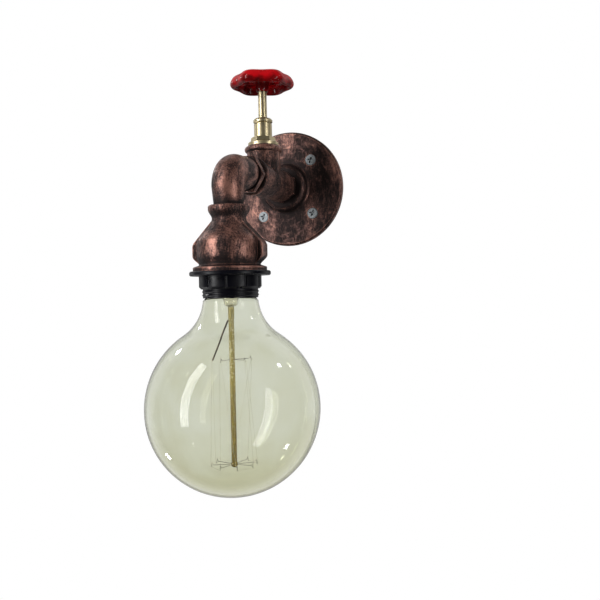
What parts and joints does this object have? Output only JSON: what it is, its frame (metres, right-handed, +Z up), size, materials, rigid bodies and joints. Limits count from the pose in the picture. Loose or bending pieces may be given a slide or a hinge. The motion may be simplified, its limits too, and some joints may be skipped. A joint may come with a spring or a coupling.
{
  "type": "wall lamp",
  "caption": "Wall lamp of iron pipe fittings: a round flange, a tee with a tap head and red handwheel, an elbow, and a reducing socket holding a lampholder with a large amber globe bulb.",
  "frame": {"origin": "centre of the flange's back face, on the wall", "axes": "+Z up, -Y away from the wall along the arm, +X to the right as one faces the wall"},
  "size_m": [0.125, 0.2179, 0.3214],
  "materials": {
    "patina_iron": "dark patina rubbed back to copper on the high places",
    "zinc_plate": "grey zinc plate",
    "pale_brass": "pale polished brass",
    "fibre": "dark red fibre",
    "black_rubber": "matt",
    "red_enamel": "glossy enamel",
    "black_moulding": "semi-gloss",
    "amber_glass": "clear, pale amber tint",
    "clear_glass": "clear",
    "steel_wire": "plain drawn wire",
    "carbon_thread": "dark filament",
    "brown_insulation": "satin",
    "blue_insulation": "satin"
  },
  "bodies": {
    "fittings": {"wall_flange": "patina_iron", "wall_screws": "zinc_plate", "wall_nipple": "patina_iron", "tee": "patina_iron", "arm_nipple": "patina_iron", "street_elbow": "patina_iron", "reducing_socket": "patina_iron", "bonnet_gasket": "fibre", "bonnet": "pale_brass", "gland_packing": "fibre", "gland_nut": "pale_brass", "lampholder_skirt": "black_moulding", "lampholder_hood": "black_moulding", "shade_ring": "black_moulding", "contact_base": "black_moulding", "screw_shell": "pale_brass", "centre_contact": "pale_brass", "side_contact": "pale_brass", "terminal_screws": "zinc_plate", "live_wire": "brown_insulation", "neutral_wire": "blue_insulation", "wire_ferrules": "zinc_plate"},
    "valve": {"valve_jumper": "pale_brass", "valve_disc": "black_rubber", "disc_screw": "pale_brass"},
    "tap_spindle": {"spindle": "pale_brass", "handwheel": "red_enamel", "wheel_washer": "zinc_plate", "wheel_nut": "zinc_plate"},
    "bulb_foot": {"bulb_tip": "zinc_plate", "bulb_insulator": "black_moulding"},
    "bulb": {"bulb_cap": "pale_brass", "bulb_glass": "amber_glass", "glass_stem": "clear_glass", "glass_rod": "clear_glass", "lead_wires": "steel_wire", "upper_hooks": "steel_wire", "lower_hooks": "steel_wire", "filament": "carbon_thread"}
  },
  "joints": [
    {"name": "spindle_rise", "type": "slide", "parent": "fittings", "child": "valve", "axis": [0, 0, 1], "range_m": [-0.009, 0]},
    {"name": "spindle_turn", "type": "hinge", "parent": "valve", "child": "tap_spindle", "pos_m": [0, -0.056, 0.05], "axis": [0, 0, 1], "range_deg": [-1080, 0]},
    {"name": "bulb_travel", "type": "slide", "parent": "fittings", "child": "bulb_foot", "axis": [0, 0, 1], "range_m": [-0.0182, 0]},
    {"name": "bulb_turn", "type": "hinge", "parent": "bulb_foot", "child": "bulb", "pos_m": [0, -0.122, -0.1], "axis": [0, 0, 1], "range_deg": [-1800, 0]}
  ],
  "couplings": [
    {"joint": "spindle_rise", "follows": "spindle_turn", "m_per_rad": 0.00047746},
    {"joint": "bulb_travel", "follows": "bulb_turn", "m_per_rad": 0.00057757}
  ]
}
